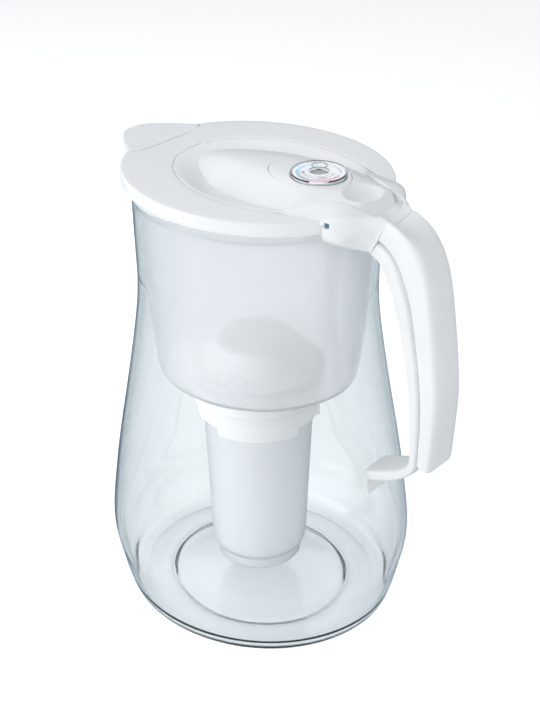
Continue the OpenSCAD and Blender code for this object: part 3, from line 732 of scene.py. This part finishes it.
# ---- Spout cover -----------------------------------------------------------------
# A thin ABS plate with a turned-down edge round its nose closes the pouring lip. It swings on a pin near its
# rear edge, and the water pushes it open.

nose = through([(-75.6, 29.6), (-78.6, 26.8), (-88, 20.5), (-96.5, 13), (-101, 6.5), (-101.85, 0)], 5)
cover_plan = cover_seam[1:] + nose
cover_plan = cover_plan + flipped(cover_plan)[1:]
spout_pin_x, spout_barrel_r, spout_barrel_half_w = -74.6, 0.95, 27.6


def cover_form(x, y, z):
    """Plate, turned-down edge and the pin's barrel."""
    plan = outline_distance(cover_plan, x, y)
    thick = np.where(x < -74.8, 1.9, 1.0)
    plate = both(plan, np.maximum(z - lid_top, lid_top - thick - z), 0.9)
    upright = np.maximum(np.maximum(lid_top - 4.6 - z, z - lid_top + 1), x + 77.5)
    edge = both(np.maximum(plan, -plan - 1.7), upright, 0.4)
    around_pin = np.sqrt((x - spout_pin_x) ** 2 + (z - lid_top + 1) ** 2)
    barrel = both(around_pin - spout_barrel_r, np.abs(y) - spout_barrel_half_w, 0.2)
    return np.minimum(either(plate, edge, 0.5), barrel)


cover = blended("spout_cover_moulding", cover_form, (-104, -31, 281), (-67, 31, 289), 0.5, abs_white)
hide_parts("spout_cover")
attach(cover, "spout_flap")


# ---- Flap ------------------------------------------------------------------------
# The filling flap is a dished plate, hinged at its front in the lid. Its crest rises from the dish like a
# drop, carries the dial, and ends between the fork's arms in a tab with a scoop for the fingertip.

def dish(x, y):
    """Depth of the dish below the lid's face."""
    rho = np.sqrt(((x - flap_cx) / flap_a) ** 2 + (y / flap_b) ** 2)
    return 3.8 * np.clip((0.972 - rho) / 0.272, 0, 1.1) ** 1.15


crest_half = through([(-41, 0.2), (-40.2, 4.6), (-36.5, 10.4), (-28, 17.5), (-8, 29.3), (10, 33), (32, 33.5),
                      (52, 31.4), (66, 27)], 6)
tab_half = [(x, y - 0.2) for x, y in fork_inside if 52 < x < 86]
tab_half += [(88.4, 13.6), (90.6, 11.8), (92.2, 7), (92.7, 0)]
crest_line = [q for q in crest_half if q[0] < 53] + tab_half
crest_plan = crest_line + flipped(crest_line)[1:]


def edge_at(centre_x, angle, points):
    """Distance from (centre_x, 0) to the outline in the direction of the angle."""
    way = np.array([math.cos(angle), math.sin(angle)])
    far = 0.0
    for p, q in zip(points, points[1:] + points[:1]):
        p, q = np.array(p) - (centre_x, 0), np.array(q) - (centre_x, 0)
        turn = way[0] * (q - p)[1] - way[1] * (q - p)[0]
        if abs(turn) > 1e-9:
            along = (p[0] * (q - p)[1] - p[1] * (q - p)[0]) / turn
            share = (p[0] * way[1] - p[1] * way[0]) / turn
            if along > 0 and -1e-6 <= share <= 1 + 1e-6:
                far = max(far, along)
    return far


hub_x = 10      # the flap's rings run outward from here
flap_t = 1.6
under_crest = 3     # how far the panel runs in under the crest


def flap_edge(angle):
    """The flap's outer edge seen from (hub_x, 0), and the radius of its top corner."""
    c, s = math.cos(angle), math.sin(angle)
    # where the ray meets the flap's oval
    a, b = (c / flap_a) ** 2 + (s / flap_b) ** 2, (hub_x - flap_cx) * c / flap_a ** 2
    t = (-b + math.sqrt(b * b - a * (((hub_x - flap_cx) / flap_a) ** 2 - 1))) / a
    x, y = hub_x + t * c, t * s
    if x < -48.2 and abs(y) < barrel_half_w:
        return (hinge_x - barrel_r, y), barrel_r
    if x < -48.2 and abs(y) < lug_half_w:
        return (hinge_x + barrel_r + edge_gap, y), edge_r
    return (x, y), edge_r


rings = []
for angle in np.linspace(math.radians(38), math.radians(322), 320):
    (x, y), r = flap_edge(angle)
    outer = np.array([x, y])
    reach = edge_at(hub_x, angle, crest_plan) - under_crest
    inner = np.array([hub_x, 0]) + reach * np.array([math.cos(angle), math.sin(angle)])
    way = (inner - outer) / np.linalg.norm(inner - outer)
    width = np.linalg.norm(inner - outer)
    low = 1.9 if r < 1 else 2 * barrel_r
    line = [(r * (1 - math.cos(a)), -r + r * math.sin(a)) for a in quarter(6)]
    line += [(r + (width - r) * (k / 12) ** 1.2, 0) for k in range(1, 13)]
    line += [(width - (width - r) * k / 6, -flap_t) for k in range(0, 6)]
    line += [(r, -low), (r * 0.3, -low + r * 0.3)]
    ring = []
    for k, (along, z) in enumerate(line):
        x, y = outer + way * along
        sink = 0 if k < 6 or k > 23 else float(dish(x, y))
        ring.append((x, y, lid_top + z - sink))
    rings.append(ring)
panel = loft("flap_dished_panel", rings, abs_white)
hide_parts("flap_panel")
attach(panel, "flap")

crest_ridge = through([(-41, 285.4), (-38, 287.0), (-32, 289.2), (-22, 291.5), (-4, 293.8), (20, 295.6),
                       (40, 296.7), (52, 296.7), (62, 295.4), (71, 294.1), (80, 293.6), (88, 293.3),
                       (93, 292.8)], 6)
dial_x, dial_r, well_floor = 46, 15.8, 291.5
scoop_x, scoop_z, scoop_half = 77.2, 295.0, (10.2, 11.8, 6.3)
bezel_line = ellipse(25.8, 18.6, 39.8)


def crest_whole(x, y, z):
    """Crest and bezel as one form, with the scoop and the dial's well taken out."""
    half_w = np.interp(x, [q[0] for q in crest_half], [q[1] for q in crest_half])
    base = lid_top - dish(x, y) - 0.4
    top = np.interp(x, [q[0] for q in crest_ridge], [q[1] for q in crest_ridge])
    arch = np.maximum(1 - np.minimum(np.abs(y) / half_w, 1) ** np.interp(x, [-10, 40], [2.4, 3.5]), 0) ** 0.9
    form = (z - base - (top - base) * arch) * 0.85
    form = both(form, outline_distance(crest_plan, x, y), 0.5)
    form = np.maximum(form, lid_top - 5.4 - z)
    form = both(form, x - 86.6 + y * y / 150 + 0.75 * (z - 293.2), 1.8)
    away = np.sqrt(((x - scoop_x) / scoop_half[0]) ** 2 + (y / scoop_half[1]) ** 2
                   + ((z - scoop_z) / scoop_half[2]) ** 2)
    form = less(form, (away - 1) * 7, 0.7)
    return less(form, both(np.sqrt((x - dial_x) ** 2 + y ** 2) - dial_r - 0.15, well_floor - z, 0.2), 0.6)


def crest_form(x, y, z):
    """The crest round the bezel's pocket."""
    pocket = both(outline_distance(bezel_line, x, y) - 0.08, lid_top + 2 - z, 0.05)
    return less(crest_whole(x, y, z), pocket, 0.12)


def bezel_form(x, y, z):
    """The oval insert that fills the pocket."""
    form = both(crest_whole(x, y, z), outline_distance(bezel_line, x, y) + 0.08, 0.12)
    return np.maximum(form, lid_top + 2.1 - z)


crest = blended("flap_crest_moulding", crest_form, (-43, -36, 281), (95, 36, 299), 0.62, abs_white)
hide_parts("flap_crest")
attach(crest, "flap")
bezel = blended("dial_bezel_moulding", bezel_form, (13, -20, 288), (70, 20, 299), 0.5, abs_white)
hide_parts("dial_bezel")
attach(bezel, "flap")


# ---- Dial --------------------------------------------------------------------------
# A month counter under a clear snap-in window: a printed scale on a plate, and over it a pointer ring turned
# by the grey knob. Its ratchet clicks past a sprung finger in the plate's hollow.

def repeating_tree():
    """Copies a shape round the upright axis: how many, how far apart, and where the first one is."""
    tree, given = open_tree("repeated_round", {"Geometry": "Geometry", "Count": "Int", "Apart": "Float",
                                               "First": "Float", "Material": "Material"})
    line = add_node(tree, "GeometryNodeMeshLine", {"Count": given["Count"], "Offset": (0, 0, 0)}).outputs[0]
    index = add_node(tree, "GeometryNodeInputIndex").outputs[0]
    angle = add_node(tree, "ShaderNodeMath", {0: index, 1: given["Apart"]}, operation="MULTIPLY").outputs[0]
    angle = add_node(tree, "ShaderNodeMath", {0: angle, 1: given["First"]}, operation="ADD").outputs[0]
    way = add_node(tree, "ShaderNodeCombineXYZ", {"Z": angle}).outputs[0]
    copies = add_node(tree, "GeometryNodeInstanceOnPoints",
                      {"Points": line, "Instance": given["Geometry"], "Rotation": way}).outputs[0]
    return close_tree(tree, copies, given["Material"])


repeated_round = repeating_tree()
on_dial = Matrix.Translation((dial_x / 1000, 0, 0))
pointer_angle = math.radians(127)


def printed_scale():
    """White sheet with printed arcs: cyan runs into pink, black marks inside them. The sheet is written
    greyer than paper, because the window passes more light to it than the room gives."""
    material, tree = new_material("printed_sheet")
    where = add_node(tree, "ShaderNodeTexCoord").outputs["Object"]
    local = add_node(tree, "ShaderNodeVectorMath", {0: where, 1: (dial_x / 1000, 0, 0)},
                     operation="SUBTRACT").outputs[0]
    flat = add_node(tree, "ShaderNodeVectorMath", {0: local, 1: (1000, 1000, 0)},
                    operation="MULTIPLY").outputs[0]
    radius = add_node(tree, "ShaderNodeVectorMath", {0: flat}, operation="LENGTH").outputs["Value"]
    apart = add_node(tree, "ShaderNodeSeparateXYZ", {0: flat}).outputs
    angle = add_node(tree, "ShaderNodeMath", {0: apart["Y"], 1: apart["X"]}, operation="ARCTAN2").outputs[0]
    # the share of a turn from where the scale starts
    turn = add_node(tree, "ShaderNodeMath", {0: angle, 1: 0.5 / math.pi, 2: -125 / 360},
                    operation="MULTIPLY_ADD").outputs[0]
    turn = add_node(tree, "ShaderNodeMath", {0: turn}, operation="FRACT").outputs[0]
    arc = add_node(tree, "ShaderNodeValToRGB", {0: turn})
    for place, code in ((0.03, "#6CC3DC"), (0.2, "#3DA6CB"), (0.33, "#0F74A6"), (0.41, "#0E4A68"),
                        (0.45, "#B98AA0"), (0.49, "#BE2F74"), (0.6, "#B01560"), (0.7, "#C87A9C")):
        spot = arc.color_ramp.elements.new(place)
        spot.color = linear(code)
    sheet = add_node(tree, "ShaderNodeTexNoise",
                     {"Vector": where, "Scale": 1000 / 0.4, "Detail": 2.0}).outputs["Fac"]
    ink = add_node(tree, "ShaderNodeMix", {"Factor": sheet, 6: linear("#CFD2D7"), 7: linear("#C8CCD2")},
                   data_type="RGBA").outputs[2]
    # each arc: radius and half width in millimetres, middle and half length in turns, colour
    for at, half_w, middle, reach, colour in (
            (11.8, 1.15, 0.37, 0.345, arc.outputs[0]), (8.6, 0.4, 0.48, 0.25, linear("#2A2E33")),
            (8.7, 1.0, 0.262, 0.03, linear("#16191D")), (8.7, 1.0, 0.545, 0.045, linear("#16191D")),
            (12.0, 0.45, 0.82, 0.07, linear("#555B62")), (13.6, 0.2, 0.5, 0.6, linear("#D3D8DE"))):
        ring = add_node(tree, "ShaderNodeMath", {0: radius, 1: at, 2: half_w},
                        operation="COMPARE").outputs[0]
        part = add_node(tree, "ShaderNodeMath", {0: turn, 1: middle, 2: reach},
                        operation="COMPARE").outputs[0]
        share = add_node(tree, "ShaderNodeMath", {0: ring, 1: part}, operation="MULTIPLY").outputs[0]
        ink = add_node(tree, "ShaderNodeMix", {"Factor": share, 6: ink, 7: colour},
                       data_type="RGBA").outputs[2]
    shader = add_node(tree, "ShaderNodeBsdfPrincipled", {"Base Color": ink, "Roughness": 0.4, "IOR": 1.5})
    add_node(tree, "ShaderNodeOutputMaterial", {"Surface": shader.outputs[0]})
    return material


tray = [(0, 291.7), (14.5, 291.7), (14.5, 296.3), (6.9, 296.3), (6.9, 295.8), (13.6, 295.8), (13.6, 293.6),
        (0, 293.6)]
plate = turned("dial_scale_plate", tray, printed_scale(), 96)
plate.data.transform(on_dial)
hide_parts("counter_plate")
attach(plate, "flap")


def refinish(node, material):
    """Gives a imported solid, which keeps its shape, a new material."""
    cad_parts[node].data.materials.clear()
    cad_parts[node].data.materials.append(material)


# natural acetal: waxy and slightly yellow
refinish("click_spring", moulded("acetal_natural", "#E9E7E0", "#E2E0D8", 0.4))

# The window is styrene, clearer and thinner than the tank: a flat top with a bevel, open in the middle.
styrene = clear_san("styrene_clear", "#C8D2DA", 10.0, 0.0, 0.01)
window = [(5.6, 296.8), (5.6, 297.7), (5.8, 297.9), (15.5, 297.9), (15.7, 297.8), (15.75, 297.6),
          (15.75, 292.6), (14.9, 292.6), (14.9, 296.8), (5.6, 296.8)]
lens = turned("dial_window", window, styrene, 96)
lens.data.set_sharp_from_angle(angle=math.radians(9))
lens.data.transform(on_dial)
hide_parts("counter_lens")
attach(lens, "flap")

# the pointer is a small ring near the scale's edge, with cross hairs in it
abs_dark = moulded("abs_black_moulded", "#1D2024", "#181B1F", 0.4)
ring_at = on_dial @ Matrix.Rotation(pointer_angle, 4, "Z") @ Matrix.Translation((0.0098, 0, 0))
pointer = turned("dial_pointer_ring", [(3.85, 296.35), (4.7, 296.35), (4.7, 296.55), (4.6, 296.7),
                                       (3.95, 296.7), (3.85, 296.55), (3.85, 296.35)], abs_dark, 64)
pointer.data.transform(ring_at)
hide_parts("dial_disc")
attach(pointer, "dial")

abs_pale = moulded("abs_pale_moulded", "#E4E7EA", "#DDE1E5", 0.3)
arm = [(0.5, 296.4), (4.0, 296.4), (4.0, 296.55), (0.5, 296.55)]
hair = loft("dial_cross_hairs", [[(x, y, z) for x, z in arm] for y in (-0.14, 0.14)], abs_pale)
baked(hair, repeated_round, {"Count": 4, "Apart": math.pi / 2, "Material": abs_pale})
hair.data.transform(ring_at)
smooth_outside(hair.data)
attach(hair, "dial")

tooth = [(5.2, -0.7), (6.2, 0.6), (5.2, 0.7)]
teeth = loft("dial_ratchet_teeth", [[(x, y, z) for x, y in tooth] for z in (294.0, 294.9)], abs_pale)
baked(teeth, repeated_round, {"Count": 24, "Apart": 2 * math.pi / 24, "First": pointer_angle,
                              "Material": abs_pale})
teeth.data.transform(on_dial)
smooth_outside(teeth.data)
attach(teeth, "dial")
hub = turned("dial_ratchet_hub", [(0, 291.8), (1.95, 291.8), (1.95, 294.0), (5.5, 294.0), (5.5, 294.9),
                                  (5.9, 295.2), (5.9, 296.3), (6.6, 296.35), (6.6, 296.6), (5.4, 296.6),
                                  (5.4, 295.45), (0, 295.45)], abs_pale, 64)
hub.data.transform(on_dial)
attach(hub, "dial")

abs_grey = moulded("abs_grey_moulded", "#B2B6B9", "#ABAFB2", 0.32)
knob = turned("dial_knob_cap", [(0, 295.5), (5.0, 295.5), (5.15, 295.7), (5.15, 296.1), (4.9, 296.3),
                                (4.55, 296.3), (4.3, 295.9), (0, 295.9)], abs_grey, 64)
knob.data.transform(on_dial)
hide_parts("dial_knob")
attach(knob, "dial")


# ---- Cartridge -------------------------------------------------------------------------
# The filter cartridge hangs in the funnel's socket: a tapered shell with a domed, slotted cap, a base with
# outlet holes, a seal, and carbon grains between them. Each part snaps into the next.

def satin_shell():
    """Pearly polypropylene: a metallic flake in white plastic gives it a satin sheen, in upright lines that
    the mould draws. They are about 2.4 mm apart here, coarser than real ones, so that they show."""
    material, tree = new_material("pp_pearl_moulded")
    where = add_node(tree, "ShaderNodeTexCoord").outputs["Object"]
    drawn = add_node(tree, "ShaderNodeMapping", {"Vector": where, "Scale": (420, 420, 3)}).outputs[0]
    lines = add_node(tree, "ShaderNodeTexNoise",
                     {"Vector": drawn, "Scale": 1.0, "Detail": 2.0}).outputs["Fac"]
    tone = add_node(tree, "ShaderNodeMix", {"Factor": lines, 6: linear("#F7F8F9"), 7: linear("#FCFCFD")},
                    data_type="RGBA")
    gloss = add_node(tree, "ShaderNodeMapRange", {"Value": lines, "To Min": 0.3, "To Max": 0.42}).outputs[0]
    shader = add_node(tree, "ShaderNodeBsdfPrincipled",
                      {"Base Color": tone.outputs[2], "Roughness": gloss, "Metallic": 0.2,
                       "Specular Tint": linear("#5A636C"), "Coat Weight": 1.0, "Coat IOR": 1.03,
                       "Coat Roughness": 0.3, "Coat Tint": linear("#F2F3F4")})
    add_node(tree, "ShaderNodeOutputMaterial", {"Surface": shader.outputs[0]})
    return material


pearl = satin_shell()
outside = through([(27.6, 28.5), (29.0, 31.0), (30.4, 34.6), (31.0, 48), (34.4, 134), (34.4, 161.3)], 6)
inside = [(32.8, 161.3), (32.8, 134), (29.3, 48), (28.8, 34.5), (27.2, 30.1), (0, 30.1)]
shell = turned("cartridge_shell_moulding", [(0, 28.5)] + outside + inside, pearl, 128)
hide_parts("cartridge_shell")
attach(shell, "cartridge")

base = turned("cartridge_base_moulding", [(0, 20.5), (25.4, 20.5), (26.4, 21.0), (26.9, 21.9), (27.4, 28.4),
                                          (0, 28.4)], pearl, 128)
# three rings of outlet holes
for r in (9, 16, 22):
    count = round(r * 0.75)
    hole = turned("cutter", [(0, 18), (1.3, 18), (1.3, 25), (0, 25)], pearl, 16)
    hole.data.transform(Matrix.Translation((r / 1000, 0, 0)))
    baked(hole, repeated_round, {"Count": count, "Apart": 2 * math.pi / count, "Material": pearl})
    cut_with(base, hole, "DIFFERENCE")
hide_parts("cartridge_base")
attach(base, "cartridge")

# the cap's polypropylene is whiter than the shell's and has no flake
pp_white = moulded("pp_white_moulded", "#FEFEFE", "#FBFBFC", 0.36)
dome = [(29.2, 156.1), (32.6, 156.1), (32.6, 161.5), (41, 161.5), (41.5, 162.2), (41, 163.2)]
dome += through([(39.0, 163.9), (33, 168), (28, 174), (25.3, 178.2), (22, 179.5)], 4)
dome += [(0, 179.5), (0, 177.7), (22, 177.7), (30.5, 166.5), (29.2, 156.1)]
cap = turned("cartridge_cap_moulding", dome, pp_white, 128)
slots = loft("cutter", [[(x, y, z) for x, z in ((22, 164.8), (44, 164.8), (44, 167.0), (22, 167.0))]
                        for y in (-0.5, 0.5)], pp_white)
baked(slots, repeated_round, {"Count": 24, "Apart": 2 * math.pi / 24, "Material": pp_white})
cut_with(cap, slots, "DIFFERENCE")
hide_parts("cartridge_cap")
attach(cap, "cartridge")

# silicone: matt and grey
silicone = moulded("silicone_seal", "#C9CED3", "#C2C7CC", 0.5)
seal = turned("cartridge_seal_ring", [(34.42 + 0.75 * (1 + math.cos(a)), 150 + 0.75 * math.sin(a))
                                      for a in np.linspace(0, 2 * math.pi, 25)], silicone, 128)
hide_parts("cartridge_seal")
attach(seal, "cartridge")

# the screen and the grains lie inside the shell; the grains are black, matt and about 1.2 mm across
refinish("inlet_screen", pp_white)
refinish("filter_media", moulded("carbon_grains", "#2A2C2E", "#1A1B1D", 0.7, 1.2))


# ---- Hinge pins ------------------------------------------------------------------------
# Two thin stainless pins, pressed into the lid, carry the flap and the spout cover. Their barrels hide them,
# but for their ends.

pin_grey = moulded("stainless_pin", "#B9BBBD", "#A9ABAD", 0.3)
refinish("flap_pin", pin_grey)
refinish("spout_pin", pin_grey)


# ---- Socket ----------------------------------------------------------------------------
# The collar in the funnel's floor grips the cartridge. It is a milky polypropylene, and its skirt is parted
# into three springy fingers.

pp_misty = clear_san("pp_misty_moulded", "#DADFE3", 6.0, 0.3, 0.4, 0.85)
collar = turned("socket_collar", [(36, 125.6), (36.2, 125.4), (38.2, 125.4), (38.4, 125.6), (38.4, 138),
                                  (39.6, 138.9), (39.6, 141.1), (38.4, 142), (38.4, 160.05), (41, 160.05),
                                  (41, 161.2), (36, 161.2), (36, 125.6)], pp_misty, 144)
gap = [(30, -11.5), (44, -16.9), (44, 16.9), (30, 11.5)]
gaps = loft("cutter", [[(x, y, z) for x, y in gap] for z in (120, 130.5)], pp_misty)
baked(gaps, repeated_round, {"Count": 3, "Apart": 2 * math.pi / 3, "First": math.radians(11),
                             "Material": pp_misty})
cut_with(collar, gaps, "DIFFERENCE")
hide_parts("socket_ring")
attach(collar, "funnel")
